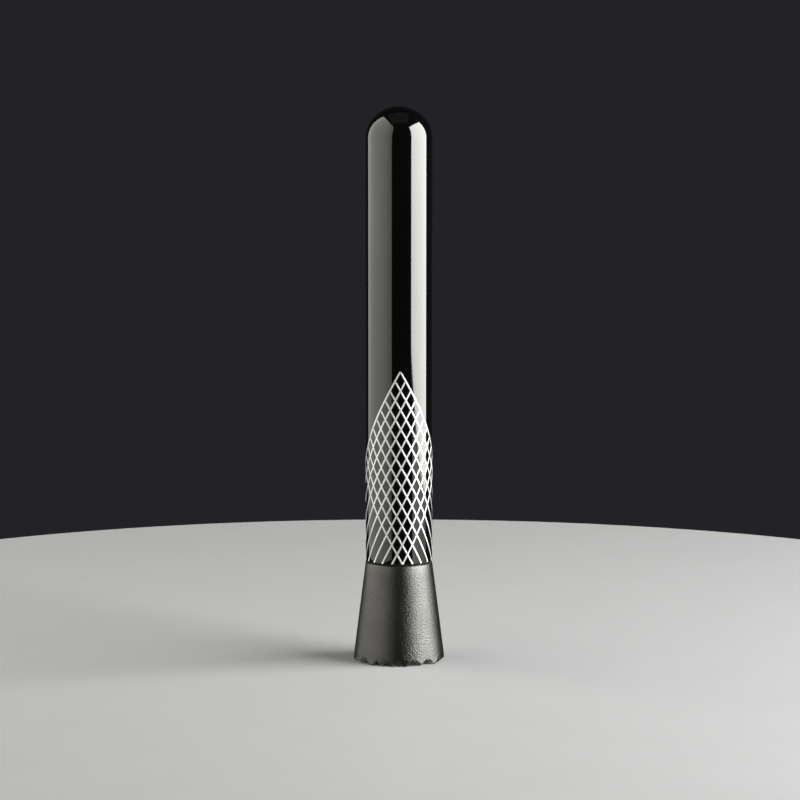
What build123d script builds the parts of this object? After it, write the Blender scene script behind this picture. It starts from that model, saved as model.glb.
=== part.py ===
"""Two-piece steel muddler: a domed tube handle that screws off a toothed conical head.

The muddler stands upright on its teeth. Z = 0 is the plane of the tooth tips, and the axis is +Z.
The head carries a pressed-in thread insert. The handle is a thin tube with a turned plug pressed
into its open end, and a threaded stud locked through that plug. All sizes are in millimetres.
"""
import os
from math import asin, ceil, degrees, radians, sqrt, tan

from build123d import *

# Driving sizes
overall_height = 212.5
tube_diameter = 25.4
tube_wall = 0.9
dome_flattening = 0.8
dome_shoulder_ease = 0.9

head_height = 38.0
head_rim_diameter = 35.0
head_rim_round = 0.45
head_top_chamfer = 0.25

seal_thickness = 0.8
seal_recess = 0.35

tooth_pitch = 4.55
tooth_depth = 2.5
tooth_flat = 0.6
tooth_grid_turn = -19.0

plug_length = 14.0
plug_chamfer = 0.6
spigot_diameter = 17.0
spigot_length = 5.0
spigot_chamfer = 0.5

stud_diameter = 10.0
stud_reach = 14.0
stud_end_chamfer = 1.0
stud_top_stand = 2.4
thread_pitch = 1.5
thread_depth = 0.92
thread_crest_width = 0.24
thread_root_width = 1.26
thread_sink = 0.23
thread_length = 12.0
tapped_spare_turns = 2

insert_wall = 2.2
insert_length = 14.0
insert_mouth_chamfer = 0.6
insert_groove_width = 1.2
insert_groove_depth = 0.5
knurl_ridges = 36
knurl_depth = 0.35

o_ring_section = 1.5
o_ring_groove_play = 0.2

washer_thickness = 2.2
washer_width = 3.0
washer_split = 1.2

nut_height = 8.0
nut_chamfer_angle = 30.0

# Fits
running_clearance = 0.06
thread_clearance = 0.09
spigot_end_gap = 0.6
stud_end_gap = 2.0
nut_corner_gap = 1.985

# Sizes that follow from those
tube_radius = tube_diameter / 2
tube_bore_radius = tube_radius - tube_wall
dome_height = tube_radius - dome_flattening
dome_shoulder_radius = dome_height - dome_shoulder_ease
head_rim_radius = head_rim_diameter / 2
spigot_radius = spigot_diameter / 2
stud_radius = stud_diameter / 2
insert_radius = stud_radius + insert_wall
counterbore_radius = spigot_radius + running_clearance
nut_corner_radius = tube_bore_radius - nut_corner_gap

# Levels along the axis, from the tooth tips up
handle_z = head_height + seal_thickness
spigot_z = handle_z - spigot_length
counterbore_z = spigot_z - spigot_end_gap
insert_z = counterbore_z - insert_length
stud_z = spigot_z - stud_reach
bore_end_z = min(insert_z, stud_z) - stud_end_gap
plug_top_z = handle_z + plug_length
nut_z = plug_top_z + washer_thickness
stud_top_z = nut_z + nut_height + stud_top_stand


def bar(radius, z_low, z_high):
    """A plain round bar on the axis between two levels."""
    return Pos(0, 0, z_low) * Cylinder(radius, z_high - z_low, align=(Align.CENTER, Align.CENTER, Align.MIN))


def edge_at(shape, radius, z_level):
    """The circular edge of a turned shape that has this radius and lies at this level."""
    circles = shape.edges().filter_by(GeomType.CIRCLE).filter_by_position(Axis.Z, z_level, z_level)
    return circles.sort_by(lambda edge: abs(edge.radius - radius))[0]


def domed_bar(radius, rise, shoulder_radius, z_low, z_high):
    """A round bar with a pressed dome on top: a shoulder arc that runs smoothly into a flatter crown arc."""
    ease = rise - shoulder_radius
    spread = ((radius - shoulder_radius) ** 2 + ease**2) / (2 * ease)
    meet_angle = degrees(asin(1 - ease / spread))
    crown_radius = shoulder_radius + spread
    shoulder_z = z_high - rise
    outline = [
        Line((0, z_low), (radius, z_low)),
        Line((radius, z_low), (radius, shoulder_z)),
        CenterArc((radius - shoulder_radius, shoulder_z), shoulder_radius, 0, meet_angle),
        CenterArc((0, z_high - crown_radius), crown_radius, meet_angle, 90 - meet_angle),
        Line((0, z_high), (0, z_low)),
    ]
    return revolve(Plane.XZ * make_face(outline), Axis.Z)


def thread_ridge(core_radius, root_width, crest_width, z_low, length):
    """A trapezoid swept up a right-hand helix, sunk a little into the core that it joins."""
    flare = (root_width - crest_width) / 2 * (thread_sink / thread_depth)
    path = Pos(0, 0, z_low) * Helix(pitch=thread_pitch, height=length, radius=core_radius)
    section = Plane(origin=path @ 0, x_dir=(1, 0, 0), z_dir=path % 0) * make_face(
        Polyline(
            (-thread_sink, -root_width / 2 - flare),
            (thread_depth, -crest_width / 2),
            (thread_depth, crest_width / 2),
            (-thread_sink, root_width / 2 + flare),
            close=True,
        )
    )
    return sweep(section, path=path, is_frenet=True)


def make_tube():
    """Handle shell: thin tube, open at the bottom and domed at the top."""
    outside = domed_bar(tube_radius, dome_height, dome_shoulder_radius, handle_z, overall_height)
    inside = domed_bar(
        tube_bore_radius,
        dome_height - tube_wall,
        dome_shoulder_radius - tube_wall,
        handle_z,
        overall_height - tube_wall,
    )
    return outside - inside


def make_end_plug():
    """Turned plug that fills the tube's open end, with a spigot that centres it in the head."""
    body = bar(tube_bore_radius, handle_z, plug_top_z)
    body = chamfer(edge_at(body, tube_bore_radius, plug_top_z), plug_chamfer)
    spigot = bar(spigot_radius, spigot_z, handle_z)
    spigot = chamfer(edge_at(spigot, spigot_radius, spigot_z), spigot_chamfer)
    groove_half = (o_ring_section + o_ring_groove_play) / 2
    groove = bar(counterbore_radius, o_ring_z() - groove_half, o_ring_z() + groove_half)
    groove -= bar(spigot_radius - o_ring_section, spigot_z, handle_z)
    return body + spigot - groove - bar(stud_radius, spigot_z, plug_top_z)


def o_ring_z():
    """Level of the O-ring: half way along the straight part of the spigot that is in the head."""
    return (spigot_z + spigot_chamfer + head_height) / 2


def make_o_ring():
    """Rubber ring in the spigot's groove, which keeps juice out of the thread."""
    section_radius = o_ring_section / 2
    return Pos(0, 0, o_ring_z()) * Torus(spigot_radius - section_radius, section_radius)


def make_stud():
    """Threaded stud: a plain shank through the plug and nut, and a thread below the spigot."""
    core_radius = stud_radius - thread_depth
    shank = bar(stud_radius, spigot_z, stud_top_z)
    shank = chamfer(edge_at(shank, stud_radius, stud_top_z), stud_end_chamfer)
    core = bar(core_radius, stud_z, spigot_z)
    core = chamfer(edge_at(core, core_radius, stud_z), stud_end_chamfer)
    ridge_z = stud_z + stud_end_chamfer + thread_root_width / 2
    ridge = thread_ridge(core_radius, thread_root_width, thread_crest_width, ridge_z, thread_length)
    return shank + core + ridge


def make_lock_washer():
    """Split spring washer between the plug and the lock nut."""
    outer_radius = stud_radius + washer_width
    ring = bar(outer_radius, plug_top_z, nut_z) - bar(stud_radius, plug_top_z, nut_z)
    from_axis_up = (Align.MIN, Align.CENTER, Align.MIN)
    split = Box(outer_radius, washer_split, washer_thickness, align=from_axis_up)
    return ring - Pos(0, 0, plug_top_z) * split


def make_lock_nut():
    """Hexagon nut with turned corners that locks the stud in the plug."""
    corner_stand = nut_corner_radius * (1 - sqrt(3) / 2)
    nut_top_z = nut_z + nut_height
    hexagon = extrude(RegularPolygon(nut_corner_radius, 6), nut_height)
    turned = bar(nut_corner_radius, nut_z, nut_top_z)
    rims = [edge_at(turned, nut_corner_radius, level) for level in (nut_z, nut_top_z)]
    turned = chamfer(rims, corner_stand, corner_stand * tan(radians(nut_chamfer_angle)))
    return (Pos(0, 0, nut_z) * hexagon & turned) - bar(stud_radius, nut_z, nut_top_z)


def make_seal_washer():
    """Flat rubber washer that the handle clamps against the head's top face."""
    ring = bar(tube_radius - seal_recess, head_height, handle_z)
    return ring - bar(spigot_radius + running_clearance, head_height, handle_z)


def make_thread_insert():
    """Knurled brass insert with the internal thread, pressed into the head."""
    sleeve = bar(insert_radius - knurl_depth, insert_z, counterbore_z)
    ridge = Pos(insert_radius - knurl_depth, 0, (insert_z + counterbore_z) / 2) * (
        Rot(0, 0, 45) * Box(knurl_depth * sqrt(2), knurl_depth * sqrt(2), insert_length)
    )
    sleeve += [Rot(0, 0, 360 * turn / knurl_ridges) * ridge for turn in range(knurl_ridges)]
    middle_z = (insert_z + counterbore_z) / 2
    groove = bar(insert_radius + knurl_depth, middle_z - insert_groove_width / 2, middle_z + insert_groove_width / 2)
    groove -= bar(insert_radius - knurl_depth - insert_groove_depth, insert_z, counterbore_z)
    return sleeve - groove - make_thread_cutter()


def make_thread_cutter():
    """What is bored and tapped out of the insert: the stud's thread, grown by the thread clearance."""
    bore_radius = stud_radius - thread_depth + thread_clearance
    bore = bar(bore_radius, insert_z, counterbore_z)
    mouth = Pos(0, 0, counterbore_z - insert_mouth_chamfer / 2) * Cone(
        bore_radius, bore_radius + insert_mouth_chamfer, insert_mouth_chamfer
    )
    grown_root = thread_root_width + thread_clearance
    grown_crest = thread_crest_width + thread_clearance
    spare_length = tapped_spare_turns * thread_pitch
    ridge_z = stud_z + stud_end_chamfer + thread_root_width / 2 - spare_length
    ridge_length = thread_length + 2 * spare_length
    ridge = thread_ridge(bore_radius, grown_root, grown_crest, ridge_z, ridge_length)
    return bore + mouth + ridge


def make_head():
    """Conical head: flared to its toothed underside, bored from the top for the insert."""
    outline = Polyline((0, 0), (head_rim_radius, 0), (tube_radius, head_height), (0, head_height), close=True)
    cone = revolve(Plane.XZ * make_face(outline), Axis.Z)
    cone = fillet(edge_at(cone, head_rim_radius, 0), head_rim_round)
    cone = chamfer(edge_at(cone, tube_radius, head_height), head_top_chamfer)
    bores = bar(counterbore_radius, counterbore_z, head_height)
    bores += bar(insert_radius, insert_z, counterbore_z)
    bores += bar(stud_radius + running_clearance, bore_end_z, insert_z)
    return cone - bores - make_tooth_grooves()


def make_tooth_grooves():
    """Two crossed sets of V-grooves, one of each through the axis, which leave a grid of flat-tipped pyramids."""
    half_width = (tooth_pitch - tooth_flat) / 2
    vee = make_face(Polyline((-half_width, 0), (half_width, 0), (0, tooth_depth), close=True))
    groove = extrude(Plane.XZ * vee, head_rim_diameter, both=True)
    grooves_each_side = ceil(head_rim_radius / tooth_pitch)
    return [
        Rot(0, 0, tooth_grid_turn + quarter) * Pos(index * tooth_pitch, 0, 0) * groove
        for quarter in (0, 90)
        for index in range(-grooves_each_side, grooves_each_side + 1)
    ]


PIECES = {
    "head": make_head,
    "thread_insert": make_thread_insert,
    "seal_washer": make_seal_washer,
    "tube": make_tube,
    "end_plug": make_end_plug,
    "o_ring": make_o_ring,
    "stud": make_stud,
    "lock_washer": make_lock_washer,
    "lock_nut": make_lock_nut,
}


def main():
    """Write every piece to its own STEP file."""
    os.makedirs("parts", exist_ok=True)
    for name, make in PIECES.items():
        export_step(make(), f"parts/{name}.step")


main()
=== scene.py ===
"""Looks of a two-piece bar muddler: a polished dark steel handle with an etched lattice, and a blasted head.

Everything is in metres in the part's own frame: Z = 0 is the plane of the tooth tips, +Z is the axis,
and -Y faces the middle of one lattice kite.
"""
import math

import bmesh
import bpy
import numpy as np
from mathutils import Euler, Matrix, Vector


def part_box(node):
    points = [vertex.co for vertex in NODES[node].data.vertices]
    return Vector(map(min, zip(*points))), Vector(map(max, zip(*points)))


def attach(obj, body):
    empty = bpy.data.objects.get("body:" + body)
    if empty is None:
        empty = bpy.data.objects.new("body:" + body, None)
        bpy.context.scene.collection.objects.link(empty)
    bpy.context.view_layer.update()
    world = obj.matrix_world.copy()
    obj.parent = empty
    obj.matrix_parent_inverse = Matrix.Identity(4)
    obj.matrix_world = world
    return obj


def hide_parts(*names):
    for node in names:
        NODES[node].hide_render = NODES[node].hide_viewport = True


MM = 0.001
TURN = 2 * math.pi

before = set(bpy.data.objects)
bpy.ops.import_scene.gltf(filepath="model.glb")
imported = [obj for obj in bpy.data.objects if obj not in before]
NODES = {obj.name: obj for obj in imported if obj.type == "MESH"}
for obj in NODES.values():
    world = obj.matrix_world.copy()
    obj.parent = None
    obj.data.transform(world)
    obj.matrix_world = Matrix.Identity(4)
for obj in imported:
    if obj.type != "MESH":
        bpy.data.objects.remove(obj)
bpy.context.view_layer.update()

# Levels and radii, read from the fixed frame
tube_low, tube_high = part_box("tube")
seal_low, seal_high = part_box("seal_washer")
ring_low, ring_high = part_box("o_ring")
TUBE_RADIUS = tube_high[0]
TUBE_FOOT = tube_low[2]
TUBE_TOP = tube_high[2]

# Sizes that only the looks need
TUBE_WALL = 0.9 * MM
TUBE_LIP_ROUND = 0.12 * MM
DOME_RISE = 11.9 * MM
DOME_SHOULDER = 11.0 * MM

# The lattice: steps go round the tube, ten to a quarter turn, and rows go along it. Lines that lean left
# stand a little prouder than the others, so that crossing lines don't share a surface.
LATTICE_KITES = 2
LATTICE_STEPS = 10
LATTICE_ROWS = 20
LATTICE_ROW = 3.70 * MM
LATTICE_LINE = 0.70 * MM
LATTICE_TWIST = math.radians(3.7)
LATTICE_STAND = 0.03 * MM
LATTICE_OVERLAP = 1.15
LATTICE_SUNK = 0.02 * MM
LATTICE_FLAT = 0.86
LATTICE_EASE = 0.8
LATTICE_FOOT = TUBE_FOOT + 0.05 * MM

# The seal's squeezed-out edge, and the edges of the turned pieces
SEAL_BORE = 8.56 * MM
SEAL_SWELL = 0.11 * MM
SEAL_SWELL_LIMITS = (-2.4, 2.0)
SEAL_SEED = 7
SEAL_WAVES = 16
SEAL_WAVE_COUNTS = (9, 74)
SEAL_EDGE_BULGE = 0.25
O_RING_RADIUS = 0.75 * MM
HEAD_EASE = 0.06 * MM
INSERT_EASE = 0.04 * MM
STEEL_EASE = 0.08 * MM
WELD_DISTANCE = 0.0005 * MM
SHARP_ANGLE = math.radians(28)

# Points along each stretch of a surface
TURNED_SEGMENTS = 192
SHELL_SEGMENTS = 256
SEAL_SEGMENTS = 720
CROWN_POINTS = 40
SHOULDER_POINTS = 28
WALL_POINTS = 60
LIP_POINTS = 6
SEAL_BULGE_POINTS = 9
O_RING_POINTS = 24
BAND_POINTS = 6
BAND_CUTS_PER_ROW = 5
BEVEL_SEGMENTS = 2
FLOOR_POINTS = 256


# ---------------------------------------------------------------- meshes

def grid_faces(rows, columns, wrap_rows, wrap_columns):
    """Quads of a grid of points as index rows; a wrapped direction joins its last line to its first."""
    row = np.arange(rows if wrap_rows else rows - 1)
    column = np.arange(columns if wrap_columns else columns - 1)
    row, column = np.meshgrid(row, column, indexing="ij")
    next_row = (row + 1) % rows
    next_column = (column + 1) % columns
    corners = (
        row * columns + column,
        row * columns + next_column,
        next_row * columns + next_column,
        next_row * columns + column,
    )
    return np.stack(corners, axis=-1).reshape(-1, 4)


def signed_volume(points, faces):
    """Sum of the tetrahedra from the origin to each quad's two triangles: positive when faces point out."""
    a, b, c, d = (points[faces[:, k]] for k in range(4))
    return (np.cross(a, b) * c).sum() + (np.cross(a, c) * d).sum()


def smooth(mesh):
    """Shades every face of a mesh smooth."""
    mesh.polygons.foreach_set("use_smooth", np.ones(len(mesh.polygons), dtype=bool))


def put(name, mesh, body):
    """An object for a mesh, which rides on a body."""
    piece = bpy.data.objects.new(name, mesh)
    bpy.context.scene.collection.objects.link(piece)
    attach(piece, body)
    return piece


def piece_from(name, points, faces, body):
    """A smooth piece from points and quads, turned outwards. A quad with a repeated corner is a triangle."""
    if signed_volume(points, faces) < 0:
        faces = faces[:, ::-1]
    mesh = bpy.data.meshes.new(name)
    mesh.from_pydata(points.tolist(), [], [tuple(dict.fromkeys(face)) for face in faces.tolist()])
    mesh.validate()
    smooth(mesh)
    return put(name, mesh, body)


def arc(centre, radius, start, end, count):
    """Points (r, z) on a circular arc between two angles in degrees."""
    angle = np.radians(np.linspace(start, end, count))
    return np.stack([centre[0] + radius * np.cos(angle), centre[1] + radius * np.sin(angle)], axis=1)


def turned(name, profile, body, segments=TURNED_SEGMENTS):
    """A lathe piece: each (r, z) of the profile is carried round the axis, x = r cos t and y = r sin t.

    A profile that starts and ends on the axis closes at two poles; any other profile is a closed loop.
    """
    profile = np.asarray(profile)
    angle = np.linspace(0, TURN, segments, endpoint=False)
    radius, height = profile[:, :1], profile[:, 1:]
    points = np.stack(
        [radius * np.cos(angle), radius * np.sin(angle), height + 0 * angle], axis=-1
    ).reshape(-1, 3)
    has_poles = profile[0, 0] < 1e-9
    faces = grid_faces(len(profile), segments, not has_poles, True)
    if has_poles:
        last = (len(profile) - 1) * segments
        faces = np.where(faces < segments, 0, faces)
        faces = np.where(faces >= last, last, faces)
        used, faces = np.unique(faces, return_inverse=True)
        points, faces = points[used], faces.reshape(-1, 4)
    return piece_from(name, points, faces, body)


# ---------------------------------------------------------------- handle

def dome_profile(radius, rise, shoulder, top):
    """Outline of a pressed dome from the axis down to its foot: a crown arc, then a tighter shoulder arc.

    Both arcs share a tangent where they meet, at sin(a) = 1 - (rise - shoulder) / spread.
    """
    ease = rise - shoulder
    spread = ((radius - shoulder) ** 2 + ease**2) / (2 * ease)
    meet = math.degrees(math.asin(1 - ease / spread))
    crown = shoulder + spread
    crown_arc = arc((0, top - crown), crown, 90, meet, CROWN_POINTS)
    crown_arc[0, 0] = 0
    shoulder_arc = arc((radius - shoulder, top - rise), shoulder, meet, 0, SHOULDER_POINTS)
    return np.concatenate([crown_arc, shoulder_arc[1:]])


def make_handle_shell():
    """The tube: outer dome and wall down to a rounded lip, and back up inside to the inner dome."""
    inner_radius = TUBE_RADIUS - TUBE_WALL
    outside = dome_profile(TUBE_RADIUS, DOME_RISE, DOME_SHOULDER, TUBE_TOP)
    inside = dome_profile(
        inner_radius, DOME_RISE - TUBE_WALL, DOME_SHOULDER - TUBE_WALL, TUBE_TOP - TUBE_WALL
    )
    wall_z = np.linspace(TUBE_TOP - DOME_RISE, TUBE_FOOT, WALL_POINTS)[1:-1]
    wall = np.stack([TUBE_RADIUS + 0 * wall_z, wall_z], axis=1)
    lip_z = TUBE_FOOT + TUBE_LIP_ROUND
    outer_lip = arc((TUBE_RADIUS - TUBE_LIP_ROUND, lip_z), TUBE_LIP_ROUND, 0, -90, LIP_POINTS)
    inner_lip = arc((inner_radius + TUBE_LIP_ROUND, lip_z), TUBE_LIP_ROUND, -90, -180, LIP_POINTS)
    profile = np.concatenate([outside, wall, outer_lip, inner_lip, inside[::-1]])
    return turned("handle_shell", profile, "handle", SHELL_SEGMENTS)


def lattice_lines():
    """The lines of one lean as (kite, line): the kite it starts on, and how many rows below the apex.

    Line k starts k rows down on the kite's upper edge and runs one step sideways for each row down, to the
    side of the kite or to the foot of the lattice.
    """
    return [(kite, k) for kite in range(LATTICE_KITES) for k in range(LATTICE_STEPS + 1)]


def make_lattice(name, lean, stand):
    """Etched lines of one lean: flat bands laid on the tube along straight lines of its unrolled surface.

    A band's centre is at angle = facing + lean * (row - 2 k) steps, and each cross-section is level, so
    the bands end square with the foot of the tube.
    """
    step = math.pi / 2 / LATTICE_STEPS
    slant = math.hypot(step * TUBE_RADIUS, LATTICE_ROW) / LATTICE_ROW
    half = LATTICE_LINE * slant / 2
    flat, ease = half * LATTICE_FLAT, stand * LATTICE_EASE
    across = np.array([-half, -flat, 0, flat, half, 0])
    above = np.array([-LATTICE_SUNK, ease, stand, ease, -LATTICE_SUNK, -LATTICE_SUNK])
    points, faces, count = [], [], 0
    for kite, k in lattice_lines():
        last = min(LATTICE_ROWS, 2 * k + LATTICE_STEPS)
        row = np.linspace(k, last, BAND_CUTS_PER_ROW * (last - k) + 1)[:, None]
        facing = -math.pi / 2 + kite * math.pi + LATTICE_TWIST * (row / LATTICE_ROWS - 0.5)
        angle = facing + lean * (row - 2 * k) * step + across / TUBE_RADIUS
        radius = TUBE_RADIUS + above + 0 * row
        height = LATTICE_FOOT + (LATTICE_ROWS - row) * LATTICE_ROW + 0 * across
        band = np.stack([radius * np.cos(angle), radius * np.sin(angle), height], axis=-1)
        sides = grid_faces(len(row), BAND_POINTS, False, True)
        caps = np.array([[0, 1, 2, 5], [2, 3, 4, 5], [5, 2, 1, 0], [5, 4, 3, 2]])
        caps[2:] += (len(row) - 1) * BAND_POINTS
        points.append(band.reshape(-1, 3))
        faces.append(np.concatenate([sides, caps]) + count)
        count += band.size // 3
    return piece_from(name, np.concatenate(points), np.concatenate(faces), "handle")


# ---------------------------------------------------------------- seam and inner pieces

def make_seal_ring():
    """The rubber washer in the seam, squeezed out unevenly by the clamped handle.

    Its outer edge stands at radius = edge + swell * (a sum of seeded sine waves in the angle), and the
    section is a flat band whose outer side bulges as half an ellipse.
    """
    angle = np.linspace(0, TURN, SEAL_SEGMENTS, endpoint=False)
    chance = np.random.default_rng(SEAL_SEED)
    waves = chance.integers(*SEAL_WAVE_COUNTS, SEAL_WAVES)
    starts = chance.uniform(0, TURN, SEAL_WAVES)
    ripple = np.sin(waves[:, None] * angle + starts[:, None]).sum(axis=0) / math.sqrt(SEAL_WAVES / 2)
    edge = seal_high[0] + SEAL_SWELL * np.clip(ripple, *SEAL_SWELL_LIMITS)
    middle = (seal_low[2] + seal_high[2]) / 2
    half = (seal_high[2] - seal_low[2]) / 2
    turn = np.linspace(-math.pi / 2, math.pi / 2, SEAL_BULGE_POINTS)[:, None]
    bulge = SEAL_EDGE_BULGE * half
    outer = np.stack([edge - bulge + bulge * np.cos(turn), middle + half * np.sin(turn) + 0 * angle], axis=-1)
    inner = np.empty((2, SEAL_SEGMENTS, 2))
    inner[..., 0] = SEAL_BORE
    inner[0, :, 1] = seal_high[2]
    inner[1, :, 1] = seal_low[2]
    section = np.concatenate([outer, inner])
    radius, height = section[..., 0], section[..., 1]
    points = np.stack([radius * np.cos(angle), radius * np.sin(angle), height], axis=-1)
    faces = grid_faces(len(section), SEAL_SEGMENTS, True, True)
    return piece_from("seal_ring", points.reshape(-1, 3), faces, "seal")


def make_o_ring():
    """Ring of round section: radius = middle + r cos u, height = level + r sin u, for the cord's radius r."""
    centre = (ring_high[0] - O_RING_RADIUS, (ring_low[2] + ring_high[2]) / 2)
    last_angle = 360 - 360 / O_RING_POINTS
    section = arc(centre, O_RING_RADIUS, 0, last_angle, O_RING_POINTS)
    return turned("spigot_ring", section, "handle")


def eased(node, body, width):
    """A merged copy of a turned or milled CAD piece with its sharp edges eased by a small bevel."""
    mesh = NODES[node].data.copy()
    loose = bmesh.new()
    loose.from_mesh(mesh)
    bmesh.ops.remove_doubles(loose, verts=loose.verts, dist=WELD_DISTANCE)
    bmesh.ops.dissolve_degenerate(loose, edges=loose.edges, dist=WELD_DISTANCE)
    loose.to_mesh(mesh)
    loose.free()
    smooth(mesh)
    mesh.set_sharp_from_angle(angle=SHARP_ANGLE)
    piece = put(node + "_eased", mesh, body)
    bevel = piece.modifiers.new("eased_edges", "BEVEL")
    bevel.width = width
    bevel.segments = BEVEL_SEGMENTS
    bevel.limit_method = "ANGLE"
    bevel.angle_limit = SHARP_ANGLE
    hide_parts(node)
    return piece


# ---------------------------------------------------------------- materials

class Finish:
    """A material that is built up one node at a time on its own object coordinates."""

    def __init__(self, name):
        self.material = bpy.data.materials.new(name)
        self.material.use_nodes = True
        self.nodes = self.material.node_tree.nodes
        self.links = self.material.node_tree.links
        self.shader = self.nodes["Principled BSDF"]
        self.place = self.nodes.new("ShaderNodeTexCoord").outputs["Object"]

    def set(self, **values):
        for socket, value in values.items():
            self.shader.inputs[socket.replace("_", " ")].default_value = value

    def join(self, source, target):
        self.links.new(source, target)

    def feed(self, socket, source):
        """Joins a node's output to a socket of the shader."""
        self.join(source, self.shader.inputs[socket])

    def stretched(self, scale):
        """Object coordinates multiplied by a scale on each axis."""
        node = self.nodes.new("ShaderNodeMapping")
        node.inputs["Scale"].default_value = scale
        self.join(self.place, node.inputs["Vector"])
        return node.outputs["Vector"]

    def noise(self, vector, scale, detail=4.0, roughness=0.55):
        node = self.nodes.new("ShaderNodeTexNoise")
        node.inputs["Scale"].default_value = scale
        node.inputs["Detail"].default_value = detail
        node.inputs["Roughness"].default_value = roughness
        self.join(vector, node.inputs["Vector"])
        return node.outputs["Fac"]

    def span(self, value, low, high, start=0.0, end=1.0):
        """Carries a value from start..end to low..high."""
        node = self.nodes.new("ShaderNodeMapRange")
        for socket, number in zip(("From Min", "From Max", "To Min", "To Max"), (start, end, low, high)):
            node.inputs[socket].default_value = number
        self.join(value, node.inputs["Value"])
        return node.outputs["Result"]

    def maths(self, operation, first, second):
        node = self.nodes.new("ShaderNodeMath")
        node.operation = operation
        for socket, value in zip(node.inputs, (first, second)):
            if isinstance(value, (int, float)):
                socket.default_value = value
            else:
                self.join(value, socket)
        return node.outputs["Value"]

    def blend(self, factor, first, second):
        """Mixes two colours."""
        node = self.nodes.new("ShaderNodeMix")
        node.data_type = "RGBA"
        self.join(factor, node.inputs["Factor"])
        node.inputs["A"].default_value = (*first, 1)
        node.inputs["B"].default_value = (*second, 1)
        return node.outputs["Result"]

    def bump(self, height, strength, distance, under=None):
        node = self.nodes.new("ShaderNodeBump")
        node.inputs["Strength"].default_value = strength
        node.inputs["Distance"].default_value = distance
        self.join(height, node.inputs["Height"])
        if under is not None:
            self.join(under, node.inputs["Normal"])
        return node.outputs["Normal"]


def polished_dark_steel():
    """Mirror-polished steel with a dark coating: faint hairlines round the tube and soft handling marks."""
    finish = Finish("polished_dark_steel")
    finish.set(Metallic=0.99)
    smears = finish.noise(finish.stretched((1, 1, 0.3)), 60, 3)
    hairlines = finish.noise(finish.stretched((1, 1, 40)), 220, 5, 0.7)
    finish.feed("Base Color", finish.blend(smears, (0.086, 0.086, 0.082), (0.104, 0.103, 0.099)))
    worn = finish.span(smears, 0.03, 0.07, 0.35, 0.7)
    scratched = finish.span(hairlines, 0, 0.03, 0.4, 0.8)
    finish.feed("Roughness", finish.maths("ADD", worn, scratched))
    finish.feed("Normal", finish.bump(hairlines, 0.04, 0.02 * MM))
    return finish.material


def etched_frost():
    """Etched lines: pale, dry and finely pitted."""
    finish = Finish("etched_frost")
    finish.set(Metallic=0.9)
    pits = finish.noise(finish.place, 5200, 3, 0.6)
    patches = finish.noise(finish.place, 240, 3)
    finish.feed("Base Color", finish.blend(patches, (0.90, 0.90, 0.88), (0.98, 0.98, 0.96)))
    finish.feed("Roughness", finish.span(pits, 0.40, 0.56, 0.3, 0.7))
    finish.feed("Normal", finish.bump(pits, 0.35, 0.02 * MM))
    return finish.material


def blasted_dark_steel():
    """Blasted steel with the same dark coating: sandy grain, and bright scuffs on the teeth's tips."""
    finish = Finish("blasted_dark_steel")
    finish.set(Metallic=1.0)
    grain = finish.noise(finish.place, 3600, 2, 0.6)
    coarse = finish.noise(finish.place, 2000, 2, 0.6)
    patches = finish.noise(finish.place, 90, 3)
    height = finish.nodes.new("ShaderNodeSeparateXYZ")
    finish.join(finish.place, height.inputs["Vector"])
    scuff = finish.span(height.outputs["Z"], 0.75, 0.0, 0.1 * MM, 1.1 * MM)
    scuff = finish.maths("MULTIPLY", scuff, finish.span(coarse, 0, 1, 0.4, 0.65))
    speckle = finish.span(coarse, -0.12, 0.12, 0.3, 0.7)
    mottle = finish.maths("ADD", finish.maths("MULTIPLY", patches, 0.5), speckle)
    shade = finish.maths("ADD", mottle, scuff)
    finish.feed("Base Color", finish.blend(shade, (0.084, 0.083, 0.077), (0.19, 0.187, 0.177)))
    finish.feed("Roughness", finish.span(coarse, 0.275, 0.315, 0.3, 0.7))
    normal = finish.bump(coarse, 1.0, 0.16 * MM)
    normal = finish.bump(grain, 0.6, 0.05 * MM, normal)
    finish.feed("Normal", normal)
    return finish.material


def turned_steel():
    """Bright steel off the lathe: fine tool rings along the axis."""
    finish = Finish("turned_steel")
    finish.set(Metallic=1.0)
    rings = finish.noise(finish.stretched((0.02, 0.02, 1)), 9000, 2, 0.6)
    stain = finish.noise(finish.place, 160, 3)
    finish.feed("Base Color", finish.blend(stain, (0.36, 0.36, 0.35), (0.46, 0.46, 0.45)))
    finish.feed("Roughness", finish.span(rings, 0.2, 0.38, 0.3, 0.7))
    finish.feed("Normal", finish.bump(rings, 0.3, 0.02 * MM))
    return finish.material


def turned_brass():
    """Brass off the lathe: fine rings and a faint tarnish."""
    finish = Finish("turned_brass")
    finish.set(Metallic=1.0)
    rings = finish.noise(finish.stretched((0.02, 0.02, 1)), 8000, 2, 0.6)
    tarnish = finish.noise(finish.place, 300, 4)
    finish.feed("Base Color", finish.blend(tarnish, (0.74, 0.55, 0.24), (0.58, 0.40, 0.17)))
    finish.feed("Roughness", finish.span(tarnish, 0.22, 0.42, 0.3, 0.7))
    finish.feed("Normal", finish.bump(rings, 0.3, 0.02 * MM))
    return finish.material


def black_rubber():
    """Matt black rubber with a fine moulded grain."""
    finish = Finish("black_rubber")
    finish.set(Specular_IOR_Level=0.25)
    grain = finish.noise(finish.place, 2600, 3)
    bloom = finish.noise(finish.place, 350, 3)
    finish.feed("Base Color", finish.blend(bloom, (0.004, 0.004, 0.004), (0.010, 0.010, 0.009)))
    finish.feed("Roughness", finish.span(bloom, 0.55, 0.8, 0.3, 0.7))
    finish.feed("Normal", finish.bump(grain, 0.3, 0.03 * MM))
    return finish.material


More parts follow.
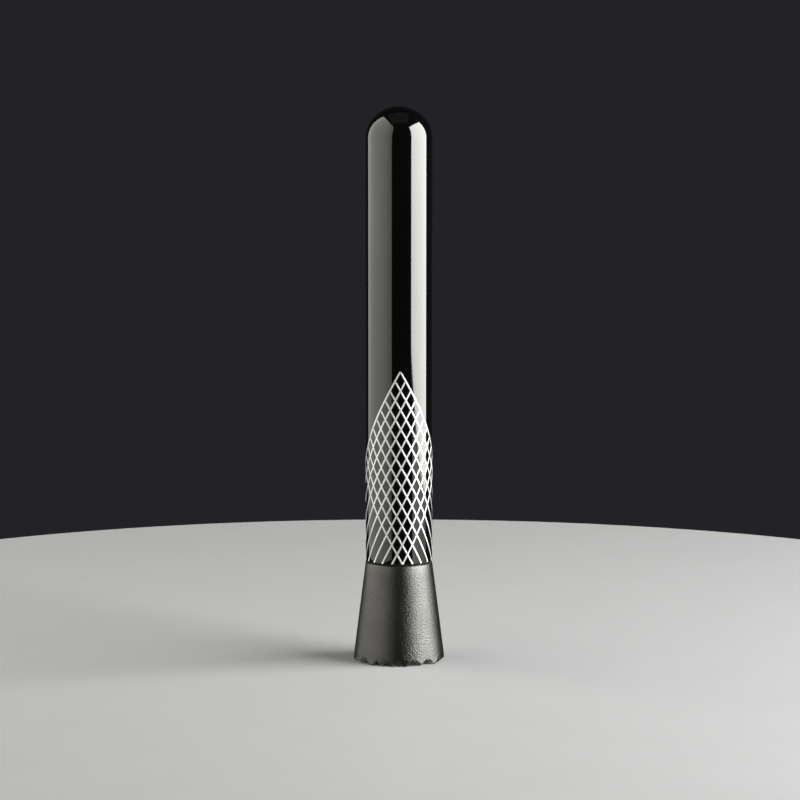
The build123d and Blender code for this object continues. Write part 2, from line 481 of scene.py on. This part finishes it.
def pale_floor():
    """Plain pale matt floor."""
    finish = Finish("pale_floor")
    mottle = finish.noise(finish.place, 30, 3)
    finish.feed("Base Color", finish.blend(mottle, (0.46, 0.46, 0.455), (0.49, 0.49, 0.485)))
    finish.set(Roughness=0.6)
    return finish.material


def cover(piece, material):
    """Gives a piece one material over all its faces."""
    piece.data.materials.clear()
    piece.data.materials.append(material)


# ---------------------------------------------------------------- studio

# Angles are in degrees and the other lengths in metres, apart from the lens and its sensor in millimetres
CAMERA_AZIMUTH = -4.0
CAMERA_ELEVATION = 7.86
CAMERA_DISTANCE = 1.924
CAMERA_LENS = 227.3
CAMERA_CLIP = (0.05, 20)
SENSOR_WIDTH = 36.0
AIM_HEIGHT = 112.8 * MM
AIM_DROP = 0.37
AIM_RIGHT = 0.012
FLOOR_RADIUS = 0.32
CEILING_SIZE = 1.1
CEILING_HEIGHT = 1.5
CEILING_RADIANCE = 0.05
SOFT_BOX_TURN = 77.0
SOFT_BOX_FADE = 0.2
LEFT_SOFT_BOX = {
    "distance": 0.45,
    "half_width": 0.60,
    "low": -0.10,
    "high": 1.0,
    "radiance": 2.2,
    "tint": (1.0, 0.99, 0.95),
    "sides": (1.0, 0.27),
    "foot": 0.6,
    "roll": -2.4,
}
RIGHT_SOFT_BOX = {
    "distance": 0.70,
    "half_width": 0.44,
    "low": -0.03,
    "high": 0.94,
    "radiance": 9.6,
    "tint": (0.99, 1.0, 1.0),
    "sides": (0.77, 1.0),
    "foot": 0.8,
    "roll": -4.7,
}
BOUNCE_CARD = {
    "distance": 0.72,
    "half_width": 0.40,
    "low": -0.30,
    "high": -0.03,
    "radiance": 1.15,
    "tint": (1.0, 0.99, 0.96),
    "sides": (1.0, 0.6),
    "foot": 1.0,
    "roll": 0.0,
}
ROOM_COLOUR = (0.0170, 0.0160, 0.0190, 1)
TABLETOP_COLOUR = (0.42, 0.42, 0.41, 1)
TABLETOP_FADE = (-0.42, -0.75)


def facing(azimuth, elevation=0.0):
    """Unit vector from the object towards an azimuth and elevation in degrees; azimuth 0 is -Y, 90 is +X."""
    a = math.radians(azimuth)
    e = math.radians(elevation)
    return np.array([math.sin(a) * math.cos(e), -math.cos(a) * math.cos(e), math.sin(e)])


def make_camera():
    """A long lens, a little above the object and slightly to its left."""
    lens = bpy.data.cameras.new("camera")
    lens.lens = CAMERA_LENS
    lens.sensor_width = SENSOR_WIDTH
    lens.clip_start, lens.clip_end = CAMERA_CLIP
    camera = bpy.data.objects.new("camera", lens)
    bpy.context.scene.collection.objects.link(camera)
    aim = np.array([0, 0, AIM_HEIGHT])
    camera.location = aim + CAMERA_DISTANCE * facing(CAMERA_AZIMUTH, CAMERA_ELEVATION)
    pitch = math.radians(90 - CAMERA_ELEVATION - AIM_DROP)
    camera.rotation_euler = (pitch, 0, math.radians(CAMERA_AZIMUTH - AIM_RIGHT))
    bpy.context.scene.camera = camera


def make_panel_light(name, azimuth, distance, half_width, low, high, radiance, tint, sides, foot, roll):
    """An upright soft box that faces the object, turned by roll degrees in its own plane.

    Its brightness runs between the two values of sides across it, and from foot up to 1 above its lower edge.
    """
    area = (2 * half_width) * (high - low)
    data = bpy.data.lights.new(name, "AREA")
    data.shape = "RECTANGLE"
    data.size = 2 * half_width
    data.size_y = high - low
    data.energy = radiance * math.pi * area
    data.color = tint
    data.use_nodes = True
    nodes, links = data.node_tree.nodes, data.node_tree.links
    split = nodes.new("ShaderNodeSeparateXYZ")
    across = nodes.new("ShaderNodeMapRange")
    up = nodes.new("ShaderNodeMapRange")
    both = nodes.new("ShaderNodeMath")
    across.inputs["To Min"].default_value, across.inputs["To Max"].default_value = sides
    up.inputs["From Max"].default_value = SOFT_BOX_FADE
    up.inputs["To Min"].default_value = foot
    both.operation = "MULTIPLY"
    links.new(nodes.new("ShaderNodeNewGeometry").outputs["Parametric"], split.inputs["Vector"])
    links.new(split.outputs["X"], across.inputs["Value"])
    links.new(split.outputs["Y"], up.inputs["Value"])
    links.new(across.outputs["Result"], both.inputs[0])
    links.new(up.outputs["Result"], both.inputs[1])
    links.new(both.outputs["Value"], nodes["Emission"].inputs["Strength"])
    light = bpy.data.objects.new(name, data)
    bpy.context.scene.collection.objects.link(light)
    light.location = facing(azimuth) * distance + np.array([0, 0, (low + high) / 2])
    upright = Euler((math.radians(90), 0, math.radians(azimuth))).to_matrix()
    light.rotation_euler = (upright @ Matrix.Rotation(math.radians(roll), 3, "Z")).to_euler()
    light.visible_camera = False


def make_ceiling_light():
    """A wide, very dim panel overhead."""
    data = bpy.data.lights.new("ceiling", "AREA")
    data.size = CEILING_SIZE
    data.energy = CEILING_RADIANCE * math.pi * CEILING_SIZE**2
    light = bpy.data.objects.new("ceiling", data)
    bpy.context.scene.collection.objects.link(light)
    light.location = (0, 0, CEILING_HEIGHT)
    light.visible_camera = False


def make_floor():
    """A round pale floor, plain and matt."""
    angle = np.linspace(0, TURN, FLOOR_POINTS, endpoint=False)
    mesh = bpy.data.meshes.new("floor")
    rim = np.stack([np.cos(angle), np.sin(angle), 0 * angle], axis=1) * FLOOR_RADIUS
    mesh.from_pydata(rim.tolist(), [], [list(range(FLOOR_POINTS))])
    floor = bpy.data.objects.new("floor", mesh)
    bpy.context.scene.collection.objects.link(floor)
    floor.visible_glossy = False
    cover(floor, pale_floor())


def make_studio():
    """Dim room with a pale tabletop far below, a wide soft box on the left, a brighter one on the right
    over a dim card, and a ceiling.
    """
    world = bpy.data.worlds.new("dim_room")
    world.use_nodes = True
    nodes, links = world.node_tree.nodes, world.node_tree.links
    split = nodes.new("ShaderNodeSeparateXYZ")
    down = nodes.new("ShaderNodeMapRange")
    down.inputs["From Min"].default_value, down.inputs["From Max"].default_value = TABLETOP_FADE
    room = nodes.new("ShaderNodeMix")
    room.data_type = "RGBA"
    room.inputs["A"].default_value = ROOM_COLOUR
    room.inputs["B"].default_value = TABLETOP_COLOUR
    links.new(nodes.new("ShaderNodeTexCoord").outputs["Generated"], split.inputs["Vector"])
    links.new(split.outputs["Z"], down.inputs["Value"])
    links.new(down.outputs["Result"], room.inputs["Factor"])
    links.new(room.outputs["Result"], nodes["Background"].inputs["Color"])
    bpy.context.scene.world = world
    left = CAMERA_AZIMUTH - SOFT_BOX_TURN
    right = CAMERA_AZIMUTH + SOFT_BOX_TURN
    make_panel_light("soft_box_left", left, **LEFT_SOFT_BOX)
    make_panel_light("soft_box_right", right, **RIGHT_SOFT_BOX)
    make_panel_light("bounce_card", right, **BOUNCE_CARD)
    make_ceiling_light()
    make_floor()


# ---------------------------------------------------------------- the object

def main():
    tube_finish = polished_dark_steel()
    line_finish = etched_frost()
    head_finish = blasted_dark_steel()
    steel = turned_steel()
    brass = turned_brass()
    rubber = black_rubber()

    shell = make_handle_shell()
    cover(shell, tube_finish)
    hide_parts("tube")
    cover(make_lattice("lattice_right", 1, LATTICE_STAND), line_finish)
    cover(make_lattice("lattice_left", -1, LATTICE_STAND * LATTICE_OVERLAP), line_finish)

    seal = make_seal_ring()
    cover(seal, rubber)
    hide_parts("seal_washer")
    spigot_ring = make_o_ring()
    cover(spigot_ring, rubber)
    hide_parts("o_ring")

    cover(eased("head", "head", HEAD_EASE), head_finish)
    cover(eased("thread_insert", "head", INSERT_EASE), brass)
    for node in ("end_plug", "stud", "lock_washer", "lock_nut"):
        cover(eased(node, "handle", STEEL_EASE), steel)

    make_camera()
    make_studio()
    bpy.context.scene.view_settings.view_transform = "Standard"


main()
